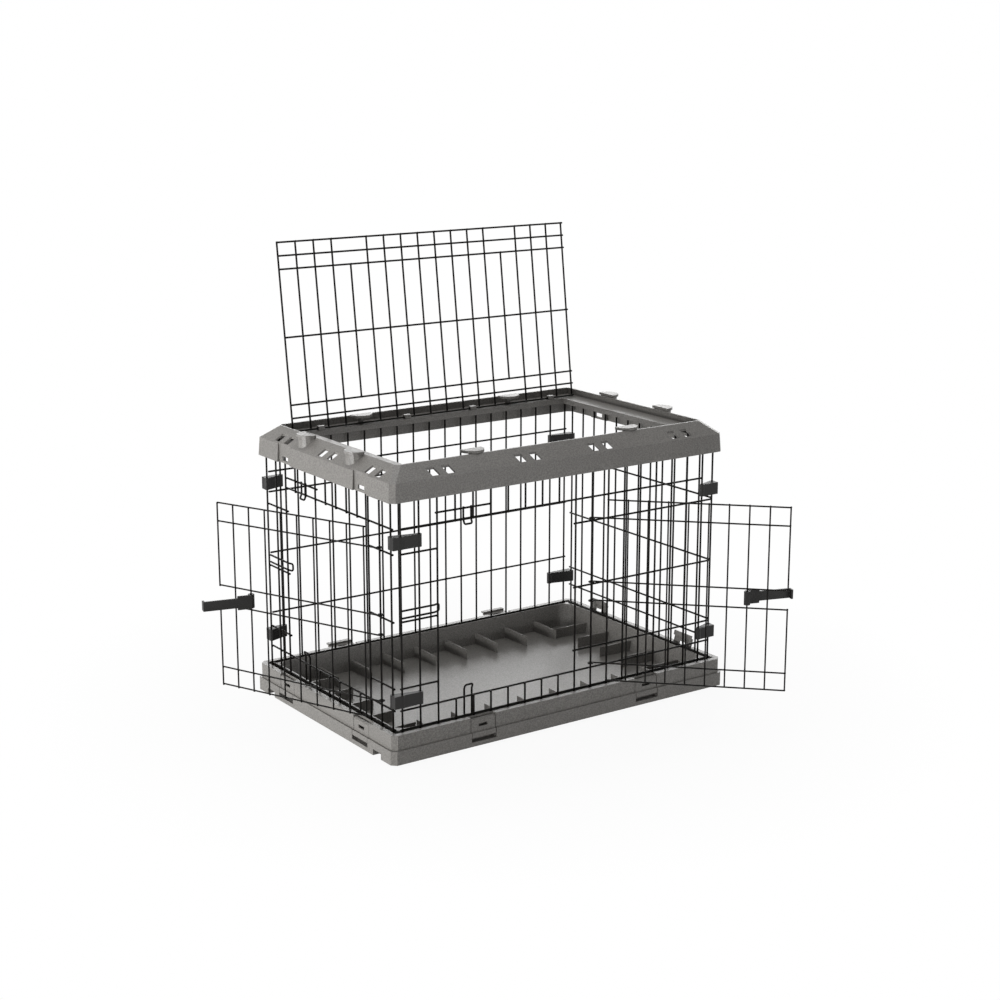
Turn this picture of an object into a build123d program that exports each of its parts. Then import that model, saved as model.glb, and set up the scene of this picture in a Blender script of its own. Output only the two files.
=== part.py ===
"""Wire dog crate: tray, four welded walls, top ring, hinged roof, two doors, latches, clips and knobs.

Origin at the centre of the tray's underside, +Z up, +X along the length, front doorway at -Y.
"""
import os
from math import sqrt

from build123d import *

# Overall sizes
base_length = 786.0
base_width = 517.0
base_height = 56.0
ring_step = 4.6
wall_setback = 17.0
corner_chamfer = 9.0

# Tray
flare = 4.0
flare_height = 27.0
tray_wall = 3.0
floor_top = 8.0
floor_thickness = 3.5
channel_width = 12.0
channel_bottom = 42.0
channel_base = 4.0
cavity_taper = 8.0
cavity_radius = 26.0
spine_width = 24.0
rib_width = 7.0
rib_length = 82.0
rib_height = 22.0
rib_pitch = 78.0
rib_count_side = 8
rib_count_end = 5
notch_width = 28.0
notch_height = 12.0
notch_depth = 10.0
notch_offset = 205.0

# Top ring
ring_bottom = 489.0
skirt_top = 525.0
ridge_top = 550.0
skirt_draft = 2.2
ridge_inset = 32.6
ridge_width = 3.4
ring_wall = 3.0
ledge_top = 536.5
ledge_bottom = 533.5
ring_inner_inset = 78.0
inner_wall_bottom = 526.0
slope_inset_at_ledge = 17.7
ridge_hollow_inset = 29.0
slot_width = 17.0
slot_length = 15.0
slot_skew = 6.0
slot_depth = 12.0
slot_spacing_side = 33.0
slot_spacing_end = 35.0
slot_side_offsets = (-275.0, -82.0, 88.0, 283.0)
slot_end_offsets = (-157.0, 10.0, 181.0)
slot_inset = 13.5
recess_width = 48.0
recess_depth = 4.5
recess_window_width = 22.0
recess_window_height = 8.0
recess_window_rise = 5.0

# Wires, across flats
wire = 3.7
door_wire = 3.0
wall_seat_gap = 0.4
rail_rise = 15.0
top_rail_drop = 13.6
first_column_gap = 11.8
last_column_gap = 33.5
count_side = 19
end_column_gap = 8.5
count_end = 13
door_first_index = 2
door_last_index = 10
head_height = 437.0
sill_height = 94.0
level_upper = 390.0
level_middle = 263.0
level_lower = 136.0
back_level_drops = (59.0, 100.0, 225.0, 350.0)
right_levels = (392.0, 263.0, 138.0, 98.0)
panel_gap = 5.0

# Keepers: U loops that stand into the doorway
keeper_pitch = 17.0
keeper_shift = 8.0
keeper_bar_rise = 20.0
keeper_drop = 13.0
keeper_sill_clear = 0.8
keeper_sill_rise = 24.0
keeper_side_rise = 7.0
keeper_side_gap = 14.0
keeper_side_reach = 9.0

# Doors
hinge_index = 11
bore_clearance = 0.4
hinge_edge = 30.0
door_columns = 10
door_overlap = 22.2
door_top_drop = 5.0
door_bottom_drop = 25.0
curl_sides = 8
pin_sides = 8
loop_rise = 6.0
loop_sill_rise = 10.0
latch_gap = 38.0
front_opening = 135.0
left_opening = 23.3

# Latches
latch_index = 7
latch_play = 3.9
latch_thickness = 4.0
latch_overhang = 18.0
latch_sleeve = 6.0
latch_tooth = 5.0
latch_block = 28.0
latch_handle_height = 19.0
latch_front_angle = 28.0
latch_left_angle = 53.0

# Corner clips
clip_half_depth = 3.8
clip_barrel = 5.4
clip_barrel_sides = 8
clip_bore_clearance = 0.35
clip_height = 24.0
clip_upper_front_rise = 11.0
clip_upper_back_rise = 7.0
clip_lower_front_rise = 8.0
clip_lower_back_rise = 12.0

# Roof
roof_end_inset = 47.4
roof_edge_inset = 69.9
roof_columns = 18
roof_short_columns = (4, 13)
roof_edge_gap = 26.0
roof_axis_rise = 3.5
roof_opening = 97.2
lug_columns = (1.5, 6.5, 10.5, 15.5)
lug_width = 14.0
lug_depth = 9.0
lug_height = 11.5

# Turn knobs
knob_radius = 24.0
knob_flat = 3.0
knob_sides = 16
knob_thickness = 5.0
knob_gap = 0.4
knob_end_inset = 28.0
knob_side_inset = 54.5
knob_end_offset = 89.0
knob_stem_radius = 4.0
knob_stem_length = 18.5
knob_boss_radius = 6.0
turret_rise = 3.0
pin_clearance = 0.3

# Base clips
base_clip_width = 54.0
base_clip_side_offset = 196.0
base_clip_end_offset = 143.0
base_clip_bottom = 17.0
base_clip_axis = 48.0
base_clip_inset = 4.5
base_clip_plate = 3.5
base_clip_pin = 2.0
base_clip_pin_length = 4.0
base_clip_slot = 20.0
base_clip_slot_height = 6.0
base_clip_slot_level = 36.0
base_clip_cut = 1.0
pocket_bottom = 8.5
pocket_clearance = 1.2
pocket_depth = 10.0
pocket_side = 6.0
pocket_back = 2.0
back_clip_opening = 92.0
right_clip_opening = 165.0

ring_length = base_length - 2 * ring_step
ring_width = base_width - 2 * ring_step
wall_x = base_length / 2 - wall_setback
wall_y = base_width / 2 - wall_setback
wall_bottom = channel_bottom
rail_height = wall_bottom + rail_rise
bore = wire / sqrt(2) + bore_clearance

# The walls' top ends sit just under the ring's sloping inner face
seat_inset = wall_setback - ring_step - wire
under_low = (ring_wall + skirt_draft, skirt_top - ring_wall / 2)
under_high = (slope_inset_at_ledge, ledge_bottom)
seat_share = (seat_inset - under_low[0]) / (under_high[0] - under_low[0])
wall_top = under_low[1] + seat_share * (under_high[1] - under_low[1]) - wall_seat_gap
top_rail_height = wall_top - top_rail_drop

# The hollow under the ridge carries on along the same slope
under_slope = (under_high[1] - under_low[1]) / (under_high[0] - under_low[0])
ridge_under = (ridge_hollow_inset, under_high[1] + under_slope * (ridge_hollow_inset - under_high[0]))

front_levels = (level_upper, level_middle, level_lower)
back_levels = [top_rail_height - drop for drop in back_level_drops]

# Columns of wire along a long wall and an end wall
side_span = 2 * wall_x - first_column_gap - last_column_gap
columns_side = [first_column_gap - wall_x + side_span * k / (count_side - 1) for k in range(count_side)]
half_end = wall_y - end_column_gap
columns_end = [half_end * (2 * k / (count_end - 1) - 1) for k in range(count_end)]
corner_reach = wall_x - panel_gap
end_reach = half_end + wire / 2

# Door rows from the head down, the loops just above the wall wires that carry the door
row_upper = level_upper + loop_rise
row_middle = level_middle + loop_rise
row_latch = row_middle - latch_gap
row_lower = sill_height + loop_sill_rise
loop_rows = (row_upper, row_middle, row_latch, row_lower)
door_rows = (head_height - door_top_drop,) + loop_rows + (sill_height - door_bottom_drop,)
door_column_y = -(bore + 3 * door_wire / 2)

roof_half_length = ring_length / 2 - roof_end_inset
roof_half_width = ring_width / 2 - roof_edge_inset
roof_pitch = 2 * roof_half_length / (roof_columns - 1)
roof_axis_height = ledge_top + roof_axis_rise
knob_side_offset = roof_half_length - roof_pitch * roof_short_columns[0]

# Each side's turn about Z and its distance from the centre, for shapes built facing -Y
SIDES = {
    "front": (0, base_width / 2),
    "right": (90, base_length / 2),
    "back": (180, base_width / 2),
    "left": (-90, base_length / 2),
}


def on_side(side, along=0.0, inset=0.0):
    turn, reach = SIDES[side]
    return Rot(0, 0, turn) * Pos(along, inset - reach, 0)


def block(x0, x1, y0, y1, z0, z1):
    box = Box(x1 - x0, y1 - y0, z1 - z0)
    return Pos((x0 + x1) / 2, (y0 + y1) / 2, (z0 + z1) / 2) * box


def chamfered(length, width, height=0.0):
    plan = Rectangle(length, width)
    return Pos(0, 0, height) * chamfer(plan.vertices(), corner_chamfer)


def frustum(levels):
    return loft([chamfered(ring_length - 2 * d, ring_width - 2 * d, z) for d, z in levels], ruled=True)


def upright(x, y, z0, z1, across):
    return Pos(x, y, z0) * extrude(Rectangle(across, across), z1 - z0)


def crossbar(x0, x1, y, z, across):
    return Pos(x0, y, z) * extrude(Plane.YZ * Rectangle(across, across), x1 - x0)


def weld(bars):
    return bars[0] + bars[1:]


def wall(uprights, crossbars):
    """Welded wall built facing -Y: uprights in the outer layer, crossbars flat against them inside."""
    bars = [upright(x, -wire / 2, z0, z1, wire) for x, z0, z1 in uprights]
    bars += [crossbar(x0, x1, wire / 2, z, wire) for z, x0, x1 in crossbars]
    return weld(bars)


def plain_wall(columns, levels, reach0, reach1):
    uprights = [(x, wall_bottom, wall_top) for x in columns]
    levels = (rail_height, top_rail_height) + tuple(levels)
    return wall(uprights, [(z, reach0, reach1) for z in levels])


def door_wall(columns, reach0, reach1, head_start, keeper_middle):
    """Wall with a doorway: columns inside it are cut short at head and sill, with three U keepers."""
    uprights = []
    for k, x in enumerate(columns):
        if door_first_index < k < door_last_index:
            uprights.append((x, wall_bottom, sill_height + wire / 2))
            uprights.append((x, head_height - wire / 2, wall_top))
        else:
            uprights.append((x, wall_bottom, wall_top))
    free_jamb = columns[door_first_index]
    hinge_jamb = columns[door_last_index]
    past = wire / 2
    crossbars = [(z, reach0, reach1) for z in (rail_height, top_rail_height, sill_height)]
    crossbars.append((head_height, head_start - past, columns[-1] + past))
    for z in front_levels:
        crossbars.append((z, reach0, free_jamb + past))
        crossbars.append((z, hinge_jamb - past, reach1))
    keeper_bar = head_height + keeper_bar_rise
    keeper_top = head_height - keeper_drop
    keeper_sill = sill_height + keeper_sill_rise
    crossbars.append((keeper_bar, free_jamb - past, columns[door_first_index + 3] + past))
    panel = [wall(uprights, crossbars)]
    legs = (keeper_middle - keeper_pitch / 2, keeper_middle + keeper_pitch / 2)
    inside = 3 * wire / 2
    sill_start = base_height + keeper_sill_clear
    for z0, z1 in ((keeper_top, keeper_bar + past), (sill_start, keeper_sill)):
        panel += [upright(x, inside, z0, z1, wire) for x in legs]
    for z in (keeper_top + past, keeper_sill - past):
        panel.append(crossbar(legs[0] - past, legs[1] + past, wire / 2, z, wire))
    low = level_middle + keeper_side_rise
    high = low + keeper_side_gap
    for z in (low, high):
        panel.append(crossbar(columns[0] - past, free_jamb + keeper_side_reach, wire / 2, z, wire))
    panel.append(upright(free_jamb + keeper_side_reach - past, inside, low - past, high + past, wire))
    return weld(panel)


def door_columns_x(columns):
    """Places of a door's upright wires from its hinge axis, for the doorway in these wall columns."""
    reach = columns[hinge_index] - columns[door_first_index] + door_overlap
    pitch = (reach - hinge_edge) / (door_columns - 1)
    return [-(hinge_edge + pitch * k) for k in range(door_columns)]


def door(columns):
    """Door with its hinge axis on the origin, closed towards -X, its outer face towards -Y."""
    row_y = -(bore + door_wire / 2)
    places = door_columns_x(columns)
    half = door_wire / 2
    bottom = door_rows[-1] - half
    top = door_rows[0] + half
    bars = []
    for z in door_rows:
        end = 0.0 if z in loop_rows else places[0] + half
        bars.append(crossbar(places[-1] - half, end, row_y, z, door_wire))
    for x in places[:-1]:
        bars.append(upright(x, door_column_y, bottom, top, door_wire))
    bars.append(upright(places[-1], door_column_y, bottom, row_latch + half, door_wire))
    bars.append(upright(places[-1], door_column_y, row_middle - half, top, door_wire))
    outer = RegularPolygon(bore + door_wire, curl_sides, major_radius=False)
    bars += [Pos(0, 0, z - half) * extrude(outer - Circle(bore), door_wire) for z in loop_rows]
    return weld(bars)


def latch(columns):
    """Lever with its pivot axis on the origin, reaching towards -X past the door's free edge."""
    places = door_columns_x(columns)
    reach = places[latch_index] - places[-1] + latch_overhang
    hole = door_wire / sqrt(2) + bore_clearance
    outer = -(latch_sleeve + latch_thickness / 2)
    middle = outer + latch_thickness / 2
    sleeve = RegularPolygon(latch_sleeve, curl_sides, major_radius=False)
    sleeve += Pos(-latch_block / 2, middle) * Rectangle(latch_block, latch_thickness)
    sleeve += Pos(-latch_sleeve / 2, outer / 2) * Rectangle(latch_sleeve, -outer)
    tooth = latch_tooth - outer
    handle = Pos(-(latch_block + reach) / 2, middle) * Rectangle(reach - latch_block, latch_thickness)
    handle += Pos(latch_thickness / 2 - reach, outer + tooth / 2) * Rectangle(latch_thickness, tooth)
    height = latch_gap - door_wire - 2 * latch_play
    lever = extrude(sleeve - Circle(hole), height / 2, both=True)
    lever += extrude(handle, latch_handle_height / 2, both=True)
    return Pos(0, 0, row_latch + latch_gap / 2) * lever


def roof():
    """Roof with its hinge wire on the origin, closed towards -Y, its long wires above the cross wires."""
    depth = 2 * roof_half_width
    rows = [0.0, roof_edge_gap, 2 * roof_edge_gap, roof_half_width]
    rows += [depth - 2 * roof_edge_gap, depth - roof_edge_gap, depth]
    half = wire / 2
    section = Rectangle(wire, wire)
    bars = []
    for s in rows:
        bar = extrude(Plane.YZ * section, 2 * (roof_half_length + half))
        bars.append(Pos(-roof_half_length - half, -s, 0) * bar)
    for k in range(roof_columns):
        short = k in roof_short_columns
        start = rows[2] if short else rows[0]
        end = rows[4] if short else rows[6]
        bar = extrude(Plane.XZ * section, end - start + wire)
        bars.append(Pos(roof_pitch * k - roof_half_length, half - start, wire) * bar)
    return weld(bars)


def tray():
    lower = extrude(chamfered(base_length + 2 * flare, base_width + 2 * flare), flare_height)
    body = lower + extrude(chamfered(base_length, base_width), base_height)
    lip = wall_setback + channel_width / 2 + tray_wall
    mouth = RectangleRounded(base_length - 2 * lip, base_width - 2 * lip, cavity_radius)
    foot_inset = 2 * (lip + cavity_taper)
    foot = RectangleRounded(base_length - foot_inset, base_width - foot_inset, cavity_radius)
    body -= loft([Pos(0, 0, floor_top) * foot, Pos(0, 0, base_height) * mouth], ruled=True)
    hub_length = base_length - 2 * (lip - tray_wall)
    hub_width = base_width - 2 * (lip - tray_wall)
    hub = Rectangle(hub_length, hub_width)
    low = chamfered(base_length + 2 * flare - 2 * tray_wall, base_width + 2 * flare - 2 * tray_wall)
    body -= extrude(low - hub, flare_height - tray_wall)
    high = chamfered(base_length - 2 * tray_wall, base_width - 2 * tray_wall)
    body -= extrude(high - hub, channel_bottom - channel_base)
    under = Rectangle(base_length - foot_inset - 2 * tray_wall, base_width - foot_inset - 2 * tray_wall)
    under -= Rectangle(base_length, spine_width) + Rectangle(spine_width, base_width)
    body -= extrude(under, floor_top - floor_thickness)
    pocket_width = base_clip_width + 2 * pocket_clearance
    bosses = []
    pockets = []
    for side, along in clip_places():
        half = pocket_width / 2 + pocket_side
        boss = block(-half, half, 0, pocket_depth + pocket_back, 0, base_height)
        bosses.append(on_side(side, along) * boss)
        reach = pocket_width / 2
        opening = block(-reach, reach, -2 * flare, pocket_depth, pocket_bottom, base_height + flare)
        bearing = Cylinder(base_clip_pin + pin_clearance, base_clip_width + 2 * pocket_side)
        opening += Pos(0, base_clip_inset, base_clip_axis) * Rot(0, 90, 0) * bearing
        pockets.append(on_side(side, along) * opening)
    half = notch_width / 2
    cheek = half + tray_wall
    notch_boss = block(-cheek, cheek, -flare, notch_depth + tray_wall, 0, notch_height + tray_wall)
    notch = block(-half, half, -2 * flare, notch_depth, 0, notch_height)
    for side in ("left", "right"):
        for along in (-notch_offset, notch_offset):
            bosses.append(on_side(side, along) * notch_boss)
            pockets.append(on_side(side, along) * notch)
    body = body + bosses
    span_x = 2 * wall_x
    span_y = 2 * wall_y
    channel = Rectangle(span_x + channel_width, span_y + channel_width)
    channel -= Rectangle(span_x - channel_width, span_y - channel_width)
    body -= Pos(0, 0, channel_bottom) * extrude(channel, base_height - channel_bottom)
    body -= pockets
    lean = cavity_taper * rib_height / (base_height - floor_top)
    return body + floor_ribs(lip + cavity_taper - lean)


def floor_ribs(inset):
    """Gussets of even height between the tray's walls and floor, narrowing to a point in plan."""
    plan = Polygon((-rib_width / 2, 0), (rib_width / 2, 0), (0, rib_length), align=None)
    spear = Pos(0, 0, floor_top) * extrude(plan, rib_height)
    ribs = []
    for side in SIDES:
        count = rib_count_end if side in ("left", "right") else rib_count_side
        for k in range(count):
            ribs.append(on_side(side, rib_pitch * (k - (count - 1) / 2), inset) * spear)
    return ribs


def clip_places():
    side = [(s, a) for s in ("front", "back") for a in (-base_clip_side_offset, base_clip_side_offset)]
    end = [(s, a) for s in ("left", "right") for a in (-base_clip_end_offset, base_clip_end_offset)]
    return side + end


def base_clip():
    """Clip with its pivot axis on the origin, hanging down, its outer face towards -Y."""
    low = base_clip_bottom - base_clip_axis
    step = flare_height - base_clip_axis
    outer = -base_clip_inset
    inner = outer + base_clip_plate
    head = RegularPolygon(base_clip_inset, pin_sides, major_radius=False, rotation=180 / pin_sides)
    upper = Polygon((outer, 0), (outer, step), (inner, step - base_clip_plate), (inner, 0), align=None)
    foot = [(outer, step), (outer - flare, step), (outer - flare, low), (inner - flare, low)]
    foot += [(inner - flare, step - base_clip_plate), (inner, step - base_clip_plate)]
    profile = head + upper + Polygon(*foot, align=None)
    half = base_clip_width / 2
    clip = Pos(-half, 0, 0) * extrude(Plane.YZ * profile, base_clip_width)
    level = base_clip_slot_level - base_clip_axis
    reach = base_clip_slot / 2
    over = base_clip_cut
    clip -= block(-reach, reach, outer - over, inner + over, level, level + base_clip_slot_height)
    pin = Plane.YZ * RegularPolygon(base_clip_pin, pin_sides)
    return clip + extrude(pin, half + base_clip_pin_length, both=True)


def ring_slots():
    """Slanted slots through the ring's slope, leaning away from each corner."""
    cuts = []
    half = slot_width / 2
    for side in SIDES:
        ends = side in ("left", "right")
        spacing = slot_spacing_end if ends else slot_spacing_side
        skew = slot_skew if ends else -slot_skew
        far = [(half + skew, slot_length), (skew - half, slot_length)]
        plan = Polygon((-half, 0), (half, 0), *far, align=None)
        cutter = Pos(-skew / 2, 0, ledge_bottom - slot_depth) * extrude(plan, ridge_top)
        for a in slot_end_offsets if ends else slot_side_offsets:
            for shift in (-spacing / 2, spacing / 2):
                cuts.append(on_side(side, a + shift, ring_step + slot_inset - slot_length / 2) * cutter)
    return cuts


def end_recesses():
    """Backing plates and cuts for the stepped-in panels of the ring's end skirts, above the base clips."""
    half = recess_width / 2
    cheek = half + ring_wall
    back = recess_depth + ring_wall
    plate = block(-cheek, cheek, skirt_draft, back, ring_bottom, skirt_top)
    step = block(-half, half, -ring_step, recess_depth, ring_bottom, ridge_top)
    reach = recess_window_width / 2
    low = ring_bottom + recess_window_rise
    step += block(-reach, reach, 0, back + ring_wall, low, low + recess_window_height)
    places = [(s, a) for s in ("left", "right") for a in (-base_clip_end_offset, base_clip_end_offset)]
    plates = [on_side(s, a, ring_step) * plate for s, a in places]
    return plates, [on_side(s, a, ring_step) * step for s, a in places]


def knob_places():
    """Name, pivot position and turn of each knob's round side away from -Y."""
    places = []
    x_end = ring_length / 2 - knob_end_inset
    y_side = ring_width / 2 - knob_side_inset
    for side, turn in (("front", 0), ("back", 0)):
        sign = -1 if side == "front" else 1
        for hand, x in (("left", -knob_side_offset), ("right", knob_side_offset)):
            places.append((f"knob_{side}_{hand}", x, sign * y_side, turn))
    for side, turn in (("left", -90), ("right", 90)):
        sign = -1 if side == "left" else 1
        for hand, y in (("front", -knob_end_offset), ("back", knob_end_offset)):
            places.append((f"knob_{side}_{hand}", sign * x_end, y, turn))
    return places


def knob():
    """Half disc on a stem, its pivot on the origin at the seat's level, its round side towards -Y."""
    disc = RegularPolygon(knob_radius, knob_sides)
    disc -= Pos(0, knob_flat + knob_radius) * Rectangle(2 * knob_radius, 2 * knob_radius)
    cap = Pos(0, 0, knob_gap) * extrude(disc, knob_thickness)
    stem = extrude(RegularPolygon(knob_stem_radius, pin_sides), knob_stem_length + knob_gap)
    stem = Pos(0, 0, -knob_stem_length) * stem
    return cap + stem


def ring():
    body = frustum([(0, ring_bottom), (skirt_draft, skirt_top), (ridge_inset, ridge_top)])
    well = 2 * (ridge_inset + ridge_width)
    inner = 2 * ring_inner_inset
    core = inner - 2 * ring_wall
    body -= Pos(0, 0, ledge_top) * extrude(Rectangle(ring_length - well, ring_width - well), ridge_top)
    hub = Rectangle(ring_length - core, ring_width - core)
    body -= frustum([(ring_wall, ring_bottom), under_low, under_high]) - extrude(hub, ridge_top)
    body -= extrude(hub, inner_wall_bottom)
    wall_inset = well - 2 * ring_wall
    ridge_core = extrude(Rectangle(ring_length - wall_inset, ring_width - wall_inset), ridge_top)
    body -= frustum([under_high, ridge_under]) - ridge_core
    body -= extrude(Rectangle(ring_length - inner, ring_width - inner), ridge_top)
    plates, steps = end_recesses()
    body = body + plates - steps
    body -= ring_slots()
    added = []
    holes = []
    turret = RegularPolygon(knob_radius - ring_wall, knob_sides)
    turret -= Pos(0, knob_radius) * Rectangle(2 * knob_radius, 2 * knob_radius)
    boss = extrude(RegularPolygon(knob_boss_radius, curl_sides), ridge_top - ledge_bottom)
    for _, x, y, turn in knob_places():
        added.append(Pos(x, y, ledge_bottom) * boss)
        if turn:
            turret_bottom = skirt_top + turret_rise
            drum = extrude(turret, ridge_top - turret_bottom)
            added.append(Pos(x, y, turret_bottom) * Rot(0, 0, turn) * drum)
        hole = extrude(Circle(knob_stem_radius + pin_clearance), ridge_top)
        holes.append(Pos(x, y, ledge_bottom - ring_wall) * hole)
    for column in lug_columns:
        x = roof_pitch * column - roof_half_length
        lug = Box(lug_width, lug_depth, lug_height, align=(Align.CENTER, Align.CENTER, Align.MIN))
        added.append(Pos(x, roof_half_width, ledge_bottom) * lug)
        pin = Rot(0, 90, 0) * Cylinder(bore, 2 * lug_width)
        holes.append(Pos(x, roof_half_width, roof_axis_height) * pin)
    return body + added - holes


def corner_clip(columns, height):
    """Clip built facing -Y at the left corner: it sleeves the end wall's wire and the long wall's wires."""
    wall_wires = [(x, -wire / 2) for x in columns]
    end_wire = (-wall_x - wire / 2, wall_y - half_end)
    x0 = end_wire[0] - clip_half_depth
    x1 = max(columns) + clip_half_depth
    y0 = -wire / 2 - clip_half_depth
    y1 = end_wire[1] + clip_half_depth
    plan = Polygon((x0, y0), (x1, y0), (x1, 0), (x0 + 2 * clip_half_depth, y1), (x0, y1), align=None)
    barrel = RegularPolygon(clip_barrel, clip_barrel_sides)
    hole = Rectangle(wire + 2 * clip_bore_clearance, wire + 2 * clip_bore_clearance)
    plan += [Pos(x, y) * barrel for x, y in wall_wires + [end_wire]]
    plan -= [Pos(x, y) * hole for x, y in wall_wires + [end_wire]]
    return Pos(0, 0, height) * extrude(plan, clip_height)


def door_place(side, columns, opening):
    return on_side(side, columns[hinge_index], wall_setback - wire / 2) * Rot(0, 0, opening)


def latch_place(side, columns, opening, angle):
    pivot = Pos(door_columns_x(columns)[latch_index], door_column_y, 0)
    return door_place(side, columns, opening) * pivot * Rot(0, 0, angle)


nodes = {"base_tray": tray(), "top_ring": ring()}

past = wire / 2
front_keeper = columns_side[door_first_index + 2] - keeper_shift
left_keeper = (columns_end[door_first_index + 1] + columns_end[door_first_index + 2]) / 2
front = door_wall(columns_side, columns_side[0] - past, corner_reach, columns_side[0], front_keeper)
left = door_wall(columns_end, -end_reach, end_reach, columns_end[door_first_index], left_keeper)
back = plain_wall(columns_side, back_levels, columns_side[0] - past, corner_reach)
right = plain_wall(columns_end, right_levels, -end_reach, end_reach)
panels = {"front_panel": front, "back_panel": back, "left_end_panel": left, "right_end_panel": right}
for name, panel in panels.items():
    nodes[name] = on_side(name.split("_")[0], 0, wall_setback) * panel

nodes["roof_panel"] = Pos(0, roof_half_width, roof_axis_height) * Rot(-roof_opening, 0, 0) * roof()
for side, columns, opening, angle in (
    ("front", columns_side, front_opening, latch_front_angle),
    ("left", columns_end, left_opening, latch_left_angle),
):
    nodes[f"{side}_door"] = door_place(side, columns, opening) * door(columns)
    nodes[f"{side}_latch"] = latch_place(side, columns, opening, angle) * latch(columns)

long_columns = columns_side[:2]
short_columns = [-columns_side[-1]]
for side, upper, lower in (
    ("front", level_upper + clip_upper_front_rise, sill_height + clip_lower_front_rise),
    ("back", back_levels[1] + clip_upper_back_rise, sill_height + clip_lower_back_rise),
):
    hands = ("left", "right") if side == "front" else ("right", "left")
    for level, height in (("upper", upper), ("lower", lower)):
        long_clip = corner_clip(long_columns, height)
        short_clip = mirror(corner_clip(short_columns, height), about=Plane.YZ)
        nodes[f"corner_clip_{side}_{hands[0]}_{level}"] = on_side(side, 0, wall_setback) * long_clip
        nodes[f"corner_clip_{side}_{hands[1]}_{level}"] = on_side(side, 0, wall_setback) * short_clip

for name, x, y, turn in knob_places():
    nodes[name] = Pos(x, y, ridge_top) * Rot(0, 0, turn) * knob()

openings = {"front": 0.0, "left": 0.0, "back": back_clip_opening, "right": right_clip_opening}
for side, along in clip_places():
    hand = "low" if along < 0 else "high"
    swing = Pos(0, 0, base_clip_axis) * Rot(-openings[side], 0, 0)
    nodes[f"base_clip_{side}_{hand}"] = on_side(side, along, base_clip_inset) * swing * base_clip()

os.makedirs("parts", exist_ok=True)
for name, shape in nodes.items():
    export_step(shape, f"parts/{name}.step")
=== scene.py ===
"""Looks for the wire dog crate.

Round welded wires stand in for the plain panels, and the mouldings get plastic surfaces and studio light.
"""

import math

import bpy
from mathutils import Matrix, Vector


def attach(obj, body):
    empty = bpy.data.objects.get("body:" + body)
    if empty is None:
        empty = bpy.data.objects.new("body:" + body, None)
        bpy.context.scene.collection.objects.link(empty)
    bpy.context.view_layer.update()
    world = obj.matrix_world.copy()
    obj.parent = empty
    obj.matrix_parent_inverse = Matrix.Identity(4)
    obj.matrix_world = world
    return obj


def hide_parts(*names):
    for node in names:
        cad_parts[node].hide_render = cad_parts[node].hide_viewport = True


# Overall sizes, in millimetres like all sizes of the object here
MM = 0.001
BASE_LENGTH = 786.0
BASE_WIDTH = 517.0
WALL_SETBACK = 17.0

# Walls
WIRE = 3.7
WIRE_RADIUS = 1.9
WALL_BOTTOM = 42.0
WALL_TOP = 525.9
RAIL = 57.0
TOP_RAIL = 512.3
FRONT_LEVELS = (390.0, 263.0, 136.0)
BACK_LEVELS = (453.3, 412.3, 287.3, 162.3)
RIGHT_LEVELS = (392.0, 263.0, 138.0, 98.0)
SIDE_FIRST = -364.2
SIDE_PITCH = 39.2611
SIDE_COUNT = 19
END_PITCH = 38.8333
END_COUNT = 13
COLUMNS_SIDE = [SIDE_FIRST + SIDE_PITCH * k for k in range(SIDE_COUNT)]
COLUMNS_END = [END_PITCH * (k - END_COUNT // 2) for k in range(END_COUNT)]
CORNER_REACH = 371.0
END_REACH = 234.85

# Doorways, with the columns at their edges counted from 0
HEAD = 437.0
SILL = 94.0
FIRST_GAP = 2
LAST_GAP = 10
HINGE_COLUMN = 11

# Keepers that hold the shut doors
KEEPER_HALF = 8.5
KEEPER_SHIFT = 8.0
KEEPER_BAR = 457.0
KEEPER_BAR_COLUMNS = 3
KEEPER_TOP_END = 424.0
KEEPER_SILL_START = 56.8
KEEPER_SILL_END = 118.0
KEEPER_SLANT = 9.0
KEEPER_BEND = 3.4
KEEPER_SIDE_LOW = 270.0
KEEPER_SIDE_HIGH = 284.0
KEEPER_SIDE_REACH = 9.0
KEEPER_SIDE_SLANT = 12.0
KEEPER_SIDE_BEND = 4.0

# Doors
DOOR_WIRE = 3.0
DOOR_RADIUS = 1.55
DOOR_EDGE = 30.0
DOOR_OVERLAP = 22.2
DOOR_COLUMNS = 10
DOOR_ROWS = (432.0, 396.0, 269.0, 231.0, 104.0, 69.0)
LOOP_ROWS = (396.0, 269.0, 231.0, 104.0)
LATCH_LOW = 231.0
LATCH_HIGH = 269.0
CURL_RADIUS = 4.516
CURL_START = -90.0
CURL_END = 205.0
CURL_STEPS = 20
FRONT_OPENING = 135.0
LEFT_OPENING = 23.3

# Roof
ROOF_HALF_LENGTH = 341.0
ROOF_HALF_WIDTH = 184.0
ROOF_GAP = 26.0
ROOF_COLUMNS = 18
ROOF_SHORT = (4, 13)
ROOF_AXIS = 540.0
ROOF_OPENING = 97.2

# Wire tips as shares of the radius, bends, and weld beads across the wires and through them
WIRE_SIDES = 12
TIP_LENGTH = 0.45
TIP_SHARE = 0.72
BEND_STEPS = 5
BEAD_SIDES = 8
BEAD_RINGS = 4
BEAD_REACH = 3.0
BEAD_ACROSS = 2.5
BEAD_THROUGH = 1.3
DOOR_BEAD_ACROSS = 2.1
DOOR_BEAD_THROUGH = 1.1
WALL_BEAD = (BEAD_ACROSS, BEAD_THROUGH, BEAD_ACROSS)
DOOR_BEAD = (DOOR_BEAD_ACROSS, DOOR_BEAD_THROUGH, DOOR_BEAD_ACROSS)
ROOF_BEAD = (BEAD_ACROSS, BEAD_ACROSS, BEAD_THROUGH)

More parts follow.
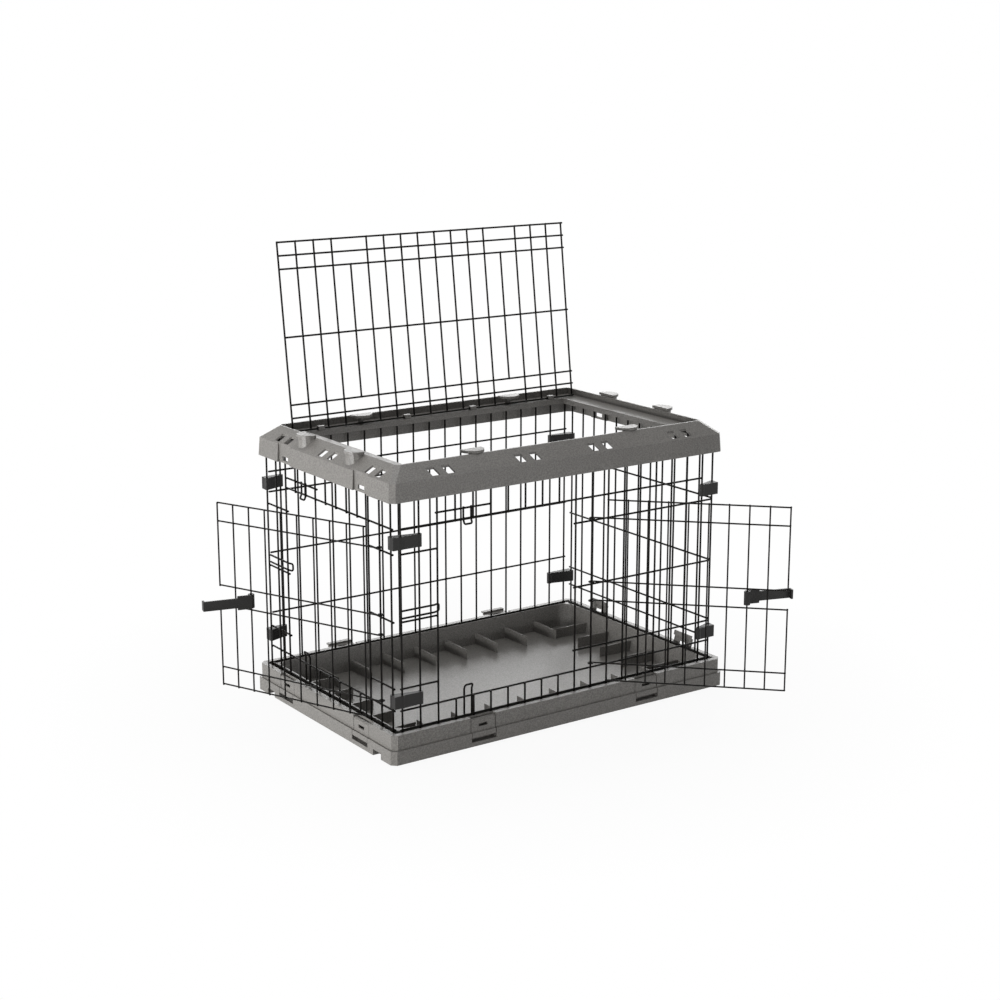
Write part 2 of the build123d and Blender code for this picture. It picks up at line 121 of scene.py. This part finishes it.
# Surfaces: scales of the noises, the parts of their ranges in use, and lengths in metres
CLOUD_SCALE = 9.0
CLOUD_DETAIL = 5.0
CLOUD_RANGE = (0.3, 0.7)
GRAIN_DETAIL = 3.0
SPECK_SCALE = 420.0
SPECK_DETAIL = 1.0
FINE_RANGE = (0.35, 0.65)
RELIEF_DEPTH = 0.0004
WELD_DISTANCE = 0.00002
LARGE_BEVEL = 0.0009
SMALL_BEVEL = 0.0006
BEVEL_ANGLE = 40.0

# Stage, in metres: the floor's shadow fades out between the near and far distance
FLOOR_HALF = 12.0
FLOOR_HEIGHT = -0.0005
FLOOR_GREY = 0.75
FLOOR_ROUGHNESS = 0.9
FLOOR_SHARE = 0.93
SHADOW_NEAR = 0.45
SHADOW_FAR = 0.95
SKY_STRENGTH = 0.20
WHITE = (1, 1, 1, 1)

# Name, place, target, size and power of each light
LIGHTS = (
    ("left_low", (-2.6, 0.1, 0.30), (0, 0, 0.26), (2.4, 0.5), 70),
    ("front_low", (0.4, -2.6, 0.20), (0, 0, 0.10), (2.6, 0.35), 11),
    ("overhead", (0.2, 0.4, 3.0), (0, 0, 0), (2.4, 2.0), 40),
    ("back_wall", (2.2, 3.2, 0.95), (0, 0, 0.15), (4.2, 1.5), 62),
)

# Camera as fitted to the photograph
AZIMUTH = math.radians(-34.81)
ELEVATION = math.radians(13.85)
DISTANCE = 3.79013
TARGET = Vector((0.02199, 0, 0.38862))
SENSOR_WIDTH = 36.0
FOCAL_LENGTH = 68.07

# Turn of each side about the crate's middle, and how far out it lies
SIDES = {
    "front": (0, BASE_WIDTH / 2),
    "right": (90, BASE_LENGTH / 2),
    "back": (180, BASE_WIDTH / 2),
    "left": (-90, BASE_LENGTH / 2),
}

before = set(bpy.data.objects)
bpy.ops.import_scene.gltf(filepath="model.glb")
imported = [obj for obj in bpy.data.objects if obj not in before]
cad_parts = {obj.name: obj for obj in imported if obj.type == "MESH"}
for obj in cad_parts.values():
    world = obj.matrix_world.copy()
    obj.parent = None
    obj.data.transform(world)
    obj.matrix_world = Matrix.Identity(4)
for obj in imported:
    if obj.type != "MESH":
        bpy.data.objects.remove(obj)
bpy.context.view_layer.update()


def turned(degrees, axis):
    return Matrix.Rotation(math.radians(degrees), 4, axis)


def side_matrix(side, along=0.0, inset=0.0):
    turn, reach = SIDES[side]
    return turned(turn, "Z") @ Matrix.Translation((along, inset - reach, 0))


class Wires:
    """Collects round wires and weld beads into one mesh, in millimetres."""

    def __init__(self):
        self.verts = []
        self.faces = []

    def bridge(self, start, count):
        """Faces between the ring of points that begins at start and the ring after it."""
        for k in range(count):
            k2 = (k + 1) % count
            self.faces.append((start + k, start + k2, start + count + k2, start + count + k))

    def tube(self, path, radius):
        """Round wire along the path, with its two tips eased."""
        points = [Vector(p) for p in path]
        start = (points[1] - points[0]).normalized()
        end = (points[-1] - points[-2]).normalized()
        tip = TIP_LENGTH * radius
        stations = [(points[0], TIP_SHARE), (points[0] + start * tip, 1.0)]
        stations += [(p, 1.0) for p in points[1:-1]]
        stations += [(points[-1] - end * tip, 1.0), (points[-1], TIP_SHARE)]
        tangents = []
        for i in range(len(stations)):
            before = stations[max(i - 1, 0)][0]
            after = stations[min(i + 1, len(stations) - 1)][0]
            tangents.append((after - before).normalized())
        normal = tangents[0].orthogonal().normalized()
        base = len(self.verts)
        for (centre, share), tangent in zip(stations, tangents):
            normal = (normal - tangent * normal.dot(tangent)).normalized()
            other = tangent.cross(normal)
            for k in range(WIRE_SIDES):
                a = 2 * math.pi * k / WIRE_SIDES
                self.verts.append(centre + (normal * math.cos(a) + other * math.sin(a)) * radius * share)
        for r in range(len(stations) - 1):
            self.bridge(base + r * WIRE_SIDES, WIRE_SIDES)
        last = base + (len(stations) - 1) * WIRE_SIDES
        self.faces.append(tuple(base + k for k in reversed(range(WIRE_SIDES))))
        self.faces.append(tuple(last + k for k in range(WIRE_SIDES)))

    def bead(self, centre, size):
        """Weld bead: a small flattened ball between two crossing wires."""
        base = len(self.verts)
        c = Vector(centre)
        for i in range(1, BEAD_RINGS):
            lat = math.pi * i / BEAD_RINGS
            for k in range(BEAD_SIDES):
                a = 2 * math.pi * k / BEAD_SIDES
                p = (math.sin(lat) * math.cos(a), math.cos(lat), math.sin(lat) * math.sin(a))
                self.verts.append(c + Vector((p[0] * size[0], p[1] * size[1], p[2] * size[2])))
        top = len(self.verts)
        self.verts.append(c + Vector((0, size[1], 0)))
        self.verts.append(c - Vector((0, size[1], 0)))
        for i in range(BEAD_RINGS - 2):
            self.bridge(base + i * BEAD_SIDES, BEAD_SIDES)
        low = base + (BEAD_RINGS - 2) * BEAD_SIDES
        for k in range(BEAD_SIDES):
            k2 = (k + 1) % BEAD_SIDES
            self.faces.append((top, base + k2, base + k))
            self.faces.append((top + 1, low + k, low + k2))

    def build(self, name, matrix, material):
        mesh = bpy.data.meshes.new(name)
        scale = Matrix.Scale(MM, 4)
        mesh.from_pydata([scale @ matrix @ v for v in self.verts], [], self.faces)
        mesh.update()
        for p in mesh.polygons:
            p.use_smooth = True
        mesh.materials.append(material)
        obj = bpy.data.objects.new(name, mesh)
        bpy.context.scene.collection.objects.link(obj)
        return obj


def curl(z):
    """The end of a door's row, curled round the hinge wire."""
    points = []
    for i in range(CURL_STEPS + 1):
        a = math.radians(CURL_START + (CURL_END - CURL_START) * i / CURL_STEPS)
        points.append((CURL_RADIUS * math.cos(a), CURL_RADIUS * math.sin(a), z))
    return points


def rounded(points, radius):
    """The path with its inner corners turned into bends."""
    out = [Vector(points[0])]
    for i in range(1, len(points) - 1):
        p = Vector(points[i])
        a = (Vector(points[i - 1]) - p).normalized()
        b = (Vector(points[i + 1]) - p).normalized()
        half = a.angle(b) / 2
        reach = radius / math.tan(half)
        middle = p + (a + b).normalized() * (radius / math.sin(half))
        r0 = p + a * reach - middle
        r1 = p + b * reach - middle
        axis = r0.cross(r1).normalized()
        angle = r0.angle(r1)
        for k in range(BEND_STEPS + 1):
            out.append(middle + Matrix.Rotation(angle * k / BEND_STEPS, 3, axis) @ r0)
    out.append(Vector(points[-1]))
    return out


def wall_wires(uprights, crossbars):
    """Uprights outside and crossbars inside, welded where they cross."""
    wires = Wires()
    y_out = -WIRE / 2
    y_in = WIRE / 2
    for x, z0, z1 in uprights:
        wires.tube([(x, y_out, z0), (x, y_out, z1)], WIRE_RADIUS)
    for z, x0, x1 in crossbars:
        wires.tube([(x0, y_in, z), (x1, y_in, z)], WIRE_RADIUS)
    for x, z0, z1 in uprights:
        for z, x0, x1 in crossbars:
            if z0 - BEAD_REACH < z < z1 + BEAD_REACH and x0 - BEAD_REACH < x < x1 + BEAD_REACH:
                wires.bead((x, 0, z), WALL_BEAD)
    return wires


def plain_wall(columns, levels, reach0, reach1):
    uprights = [(x, WALL_BOTTOM, WALL_TOP) for x in columns]
    return wall_wires(uprights, [(z, reach0, reach1) for z in (RAIL, TOP_RAIL) + levels])


def keeper(x0, x1, start, end, slant):
    """U of wire on the inner side of the wall, whose tip leans out into the doorway."""
    y_in = 3 * WIRE / 2
    y_tip = WIRE / 2
    bend = end + slant
    path = [(x0, y_in, start), (x0, y_in, bend), (x0, y_tip, end)]
    path += [(x1, y_tip, end), (x1, y_in, bend), (x1, y_in, start)]
    return rounded(path, KEEPER_BEND)


def side_keeper(start, jamb):
    """Flat loop of wire along the wall, whose tip leans in behind the doorway's edge."""
    y_wall = WIRE / 2
    y_tip = 3 * WIRE / 2
    tip = jamb + KEEPER_SIDE_REACH - WIRE / 2
    bend = tip - KEEPER_SIDE_SLANT
    low = KEEPER_SIDE_LOW
    high = KEEPER_SIDE_HIGH
    path = [(start, y_wall, low), (bend, y_wall, low), (tip, y_tip, low)]
    path += [(tip, y_tip, high), (bend, y_wall, high), (start, y_wall, high)]
    return rounded(path, KEEPER_SIDE_BEND)


def door_wall(columns, reach0, reach1, head_start, middle):
    """Wall with a doorway, and with upper and lower keepers about the middle given."""
    uprights = []
    past = WIRE / 2
    for k, x in enumerate(columns):
        if FIRST_GAP < k < LAST_GAP:
            uprights.append((x, WALL_BOTTOM, SILL + past))
            uprights.append((x, HEAD - past, WALL_TOP))
        else:
            uprights.append((x, WALL_BOTTOM, WALL_TOP))
    jamb = columns[FIRST_GAP]
    crossbars = [(z, reach0, reach1) for z in (RAIL, TOP_RAIL, SILL)]
    crossbars.append((HEAD, head_start - past, columns[-1] + past))
    for z in FRONT_LEVELS:
        crossbars.append((z, reach0, jamb + past))
        crossbars.append((z, columns[LAST_GAP] - past, reach1))
    crossbars.append((KEEPER_BAR, jamb - past, columns[FIRST_GAP + KEEPER_BAR_COLUMNS] + past))
    wires = wall_wires(uprights, crossbars)
    x0 = middle - KEEPER_HALF
    x1 = middle + KEEPER_HALF
    upper = keeper(x0, x1, KEEPER_BAR + past, KEEPER_TOP_END + past, KEEPER_SLANT)
    lower = keeper(x0, x1, KEEPER_SILL_START, KEEPER_SILL_END - past, -KEEPER_SLANT)
    for path in (upper, lower, side_keeper(columns[0] - past, jamb)):
        wires.tube(path, WIRE_RADIUS)
    for z in (SILL, HEAD, KEEPER_BAR):
        for x in (x0, x1):
            wires.bead((x, WIRE, z), WALL_BEAD)
    return wires


def door_wires(wall_columns):
    """Door about its hinge wire, at the origin, with the door shut and running towards -X."""
    wires = Wires()
    row_y = -CURL_RADIUS
    column_y = row_y - DOOR_WIRE
    half = DOOR_WIRE / 2
    reach = wall_columns[HINGE_COLUMN] - wall_columns[FIRST_GAP] + DOOR_OVERLAP
    pitch = (reach - DOOR_EDGE) / (DOOR_COLUMNS - 1)
    columns = [-(DOOR_EDGE + pitch * k) for k in range(DOOR_COLUMNS)]
    for z in DOOR_ROWS:
        path = [(columns[-1] - half, row_y, z)]
        if z in LOOP_ROWS:
            path += curl(z)
        else:
            path.append((columns[0] + half, row_y, z))
        wires.tube(path, DOOR_RADIUS)
    bottom = DOOR_ROWS[-1] - half
    top = DOOR_ROWS[0] + half
    runs = [(x, bottom, top) for x in columns[:-1]]
    runs += [(columns[-1], bottom, LATCH_LOW + half), (columns[-1], LATCH_HIGH - half, top)]
    for x, z0, z1 in runs:
        wires.tube([(x, column_y, z0), (x, column_y, z1)], DOOR_RADIUS)
    for x in columns:
        for z in DOOR_ROWS:
            wires.bead((x, row_y - half, z), DOOR_BEAD)
    return wires


def roof_wires():
    """Roof about its hinge, flat and running towards -Y."""
    wires = Wires()
    depth = 2 * ROOF_HALF_WIDTH
    rows = [0.0, ROOF_GAP, 2 * ROOF_GAP, ROOF_HALF_WIDTH, depth - 2 * ROOF_GAP, depth - ROOF_GAP, depth]
    half = WIRE / 2
    pitch = 2 * ROOF_HALF_LENGTH / (ROOF_COLUMNS - 1)
    reach = ROOF_HALF_LENGTH + half
    for s in rows:
        wires.tube([(-reach, -s, 0), (reach, -s, 0)], WIRE_RADIUS)
    for k in range(ROOF_COLUMNS):
        x = pitch * k - ROOF_HALF_LENGTH
        kept = rows[2:5] if k in ROOF_SHORT else rows
        wires.tube([(x, half - kept[0], WIRE), (x, -half - kept[-1], WIRE)], WIRE_RADIUS)
        for s in kept:
            wires.bead((x, -s, half), ROOF_BEAD)
    return wires


def noise(tree, place, scale, detail):
    node = tree.nodes.new("ShaderNodeTexNoise")
    node.inputs["Scale"].default_value = scale
    node.inputs["Detail"].default_value = detail
    tree.links.new(place, node.inputs["Vector"])
    return node.outputs["Fac"]


def map_range(tree, value, source, target):
    node = tree.nodes.new("ShaderNodeMapRange")
    node.inputs["From Min"].default_value = source[0]
    node.inputs["From Max"].default_value = source[1]
    node.inputs["To Min"].default_value = target[0]
    node.inputs["To Max"].default_value = target[1]
    tree.links.new(value, node.inputs["Value"])
    return node.outputs["Result"]


def combine(tree, operation, first, second):
    node = tree.nodes.new("ShaderNodeMath")
    node.operation = operation
    tree.links.new(first, node.inputs[0])
    tree.links.new(second, node.inputs[1])
    return node.outputs["Value"]


def mix_shader(tree, share, first, second):
    node = tree.nodes.new("ShaderNodeMixShader")
    tree.links.new(share, node.inputs["Fac"])
    tree.links.new(first, node.inputs[1])
    tree.links.new(second, node.inputs[2])
    return node.outputs["Shader"]


def noise_material(name, colour, rough, spread, grain, bump, fleck, shine, speckle=0.0):
    """Principled surface whose colour, roughness and relief vary with fine procedural noise."""
    mat = bpy.data.materials.new(name)
    mat.use_nodes = True
    tree = mat.node_tree
    shader = tree.nodes["Principled BSDF"]
    shader.inputs["Specular IOR Level"].default_value = shine
    place = tree.nodes.new("ShaderNodeTexCoord").outputs["Object"]
    broad = noise(tree, place, CLOUD_SCALE, CLOUD_DETAIL)
    fine = noise(tree, place, grain, GRAIN_DETAIL)
    clouds = map_range(tree, broad, CLOUD_RANGE, (1.0 - fleck, 1.0 + fleck))
    speck = noise(tree, place, SPECK_SCALE, SPECK_DETAIL)
    dots = map_range(tree, speck, FINE_RANGE, (1.0 - speckle, 1.0 + speckle))
    tint = tree.nodes.new("ShaderNodeVectorMath")
    tint.operation = "SCALE"
    tint.inputs[0].default_value = colour
    tree.links.new(combine(tree, "MULTIPLY", clouds, dots), tint.inputs["Scale"])
    tree.links.new(tint.outputs["Vector"], shader.inputs["Base Color"])
    gloss = map_range(tree, fine, FINE_RANGE, (rough - spread, rough + spread))
    tree.links.new(gloss, shader.inputs["Roughness"])
    relief = tree.nodes.new("ShaderNodeBump")
    relief.inputs["Strength"].default_value = bump
    relief.inputs["Distance"].default_value = RELIEF_DEPTH
    tree.links.new(fine, relief.inputs["Height"])
    tree.links.new(relief.outputs["Normal"], shader.inputs["Normal"])
    return mat


def backdrop_rays(tree):
    """One for rays from the camera and from shiny or clear surfaces, which see a white backdrop."""
    path = tree.nodes.new("ShaderNodeLightPath")
    direct = combine(tree, "MAXIMUM", path.outputs["Is Camera Ray"], path.outputs["Is Glossy Ray"])
    return combine(tree, "MAXIMUM", direct, path.outputs["Is Transmission Ray"])


def floor_material():
    """White to the camera, with a share of the diffuse floor near the crate that shows its shadow."""
    mat = bpy.data.materials.new("white_floor")
    mat.use_nodes = True
    tree = mat.node_tree
    glow = tree.nodes.new("ShaderNodeEmission")
    glow.inputs["Color"].default_value = WHITE
    diffuse = tree.nodes["Principled BSDF"]
    diffuse.inputs["Base Color"].default_value = (FLOOR_GREY, FLOOR_GREY, FLOOR_GREY, 1)
    diffuse.inputs["Roughness"].default_value = FLOOR_ROUGHNESS
    place = tree.nodes.new("ShaderNodeTexCoord")
    away = tree.nodes.new("ShaderNodeVectorMath")
    away.operation = "LENGTH"
    tree.links.new(place.outputs["Object"], away.inputs[0])
    fade = map_range(tree, away.outputs["Value"], (SHADOW_NEAR, SHADOW_FAR), (FLOOR_SHARE, 1.0))
    share = combine(tree, "MULTIPLY", backdrop_rays(tree), fade)
    surface = mix_shader(tree, share, diffuse.outputs["BSDF"], glow.outputs["Emission"])
    tree.links.new(surface, tree.nodes["Material Output"].inputs["Surface"])
    return mat


def studio_world():
    """Soft light from all round, which the camera sees as white."""
    world = bpy.data.worlds.new("studio")
    world.use_nodes = True
    tree = world.node_tree
    sky = tree.nodes["Background"]
    sky.inputs["Color"].default_value = WHITE
    sky.inputs["Strength"].default_value = SKY_STRENGTH
    seen = tree.nodes.new("ShaderNodeBackground")
    seen.inputs["Color"].default_value = WHITE
    seen.inputs["Strength"].default_value = 1.0
    surface = mix_shader(tree, backdrop_rays(tree), sky.outputs["Background"], seen.outputs["Background"])
    tree.links.new(surface, tree.nodes["World Output"].inputs["Surface"])
    return world


def area_light(name, place, target, size, power):
    data = bpy.data.lights.new(name, "AREA")
    data.shape = "RECTANGLE"
    data.size = size[0]
    data.size_y = size[1]
    data.energy = power
    light = bpy.data.objects.new(name, data)
    light.location = place
    aim = Vector(target) - Vector(place)
    light.rotation_euler = aim.to_track_quat("-Z", "Y").to_euler()
    light.visible_camera = False
    bpy.context.scene.collection.objects.link(light)


grey = noise_material(
    "moulded_grey",
    colour=(0.165, 0.158, 0.148),
    rough=0.36,
    spread=0.06,
    grain=900.0,
    bump=0.18,
    fleck=0.05,
    shine=0.34,
    speckle=0.22,
)
black_wire = noise_material(
    "black_coating",
    colour=(0.0042, 0.0036, 0.0030),
    rough=0.42,
    spread=0.10,
    grain=700.0,
    bump=0.20,
    fleck=0.15,
    shine=0.08,
)
black_plastic = noise_material(
    "black_plastic",
    colour=(0.010, 0.0095, 0.009),
    rough=0.46,
    spread=0.08,
    grain=1200.0,
    bump=0.25,
    fleck=0.10,
    shine=0.26,
)

# Wire panels, each made in its own place and then set into the crate
past = WIRE / 2
side_start = COLUMNS_SIDE[0] - past
front_keeper = COLUMNS_SIDE[FIRST_GAP + 2] - KEEPER_SHIFT
left_keeper = (COLUMNS_END[FIRST_GAP + 1] + COLUMNS_END[FIRST_GAP + 2]) / 2
front = door_wall(COLUMNS_SIDE, side_start, CORNER_REACH, COLUMNS_SIDE[0], front_keeper)
left = door_wall(COLUMNS_END, -END_REACH, END_REACH, COLUMNS_END[FIRST_GAP], left_keeper)
back = plain_wall(COLUMNS_SIDE, BACK_LEVELS, side_start, CORNER_REACH)
right = plain_wall(COLUMNS_END, RIGHT_LEVELS, -END_REACH, END_REACH)
on_hinge = WALL_SETBACK - past
front_turn = side_matrix("front", COLUMNS_SIDE[HINGE_COLUMN], on_hinge) @ turned(FRONT_OPENING, "Z")
left_turn = side_matrix("left", COLUMNS_END[HINGE_COLUMN], on_hinge) @ turned(LEFT_OPENING, "Z")
roof_turn = Matrix.Translation((0, ROOF_HALF_WIDTH, ROOF_AXIS)) @ turned(-ROOF_OPENING, "X")
PANELS = (
    ("front_panel", front, side_matrix("front", 0, WALL_SETBACK), "crate"),
    ("left_end_panel", left, side_matrix("left", 0, WALL_SETBACK), "crate"),
    ("back_panel", back, side_matrix("back", 0, WALL_SETBACK), "crate"),
    ("right_end_panel", right, side_matrix("right", 0, WALL_SETBACK), "crate"),
    ("front_door", door_wires(COLUMNS_SIDE), front_turn, "front_door"),
    ("left_door", door_wires(COLUMNS_END), left_turn, "left_door"),
    ("roof_panel", roof_wires(), roof_turn, "roof"),
)
for node, wires, matrix, body in PANELS:
    obj = wires.build(node + "_wires", matrix, black_wire)
    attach(obj, body)
    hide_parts(node)

# Mouldings: plastic with softened edges
for name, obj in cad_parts.items():
    if name.endswith(("_panel", "_door")):
        continue
    dark = name.startswith("corner_clip") or name.endswith("_latch")
    obj.data.materials.clear()
    obj.data.materials.append(black_plastic if dark else grey)
    weld = obj.modifiers.new("weld", "WELD")
    weld.merge_threshold = WELD_DISTANCE
    bevel = obj.modifiers.new("soft_edges", "BEVEL")
    bevel.width = LARGE_BEVEL if name in ("base_tray", "top_ring") else SMALL_BEVEL
    bevel.segments = 2
    bevel.limit_method = "ANGLE"
    bevel.angle_limit = math.radians(BEVEL_ANGLE)
    bevel.harden_normals = True

# Stage: a white floor that keeps a faint shadow, and light mostly from the left and from behind
scene = bpy.context.scene
corners = [(-FLOOR_HALF, -FLOOR_HALF, 0), (FLOOR_HALF, -FLOOR_HALF, 0)]
corners += [(FLOOR_HALF, FLOOR_HALF, 0), (-FLOOR_HALF, FLOOR_HALF, 0)]
floor_mesh = bpy.data.meshes.new("floor")
floor_mesh.from_pydata(corners, [], [(0, 1, 2, 3)])
floor_mesh.materials.append(floor_material())
floor = bpy.data.objects.new("floor", floor_mesh)
floor.location = (0, 0, FLOOR_HEIGHT)
scene.collection.objects.link(floor)
scene.world = studio_world()
for light in LIGHTS:
    area_light(*light)

level = math.cos(ELEVATION)
ahead = Vector((-math.sin(AZIMUTH) * level, math.cos(AZIMUTH) * level, -math.sin(ELEVATION)))
camera_data = bpy.data.cameras.new("camera")
camera_data.sensor_width = SENSOR_WIDTH
camera_data.lens = FOCAL_LENGTH
camera = bpy.data.objects.new("camera", camera_data)
camera.location = TARGET - ahead * DISTANCE
camera.rotation_euler = ahead.to_track_quat("-Z", "Y").to_euler()
scene.collection.objects.link(camera)
scene.camera = camera
scene.view_settings.view_transform = "Standard"
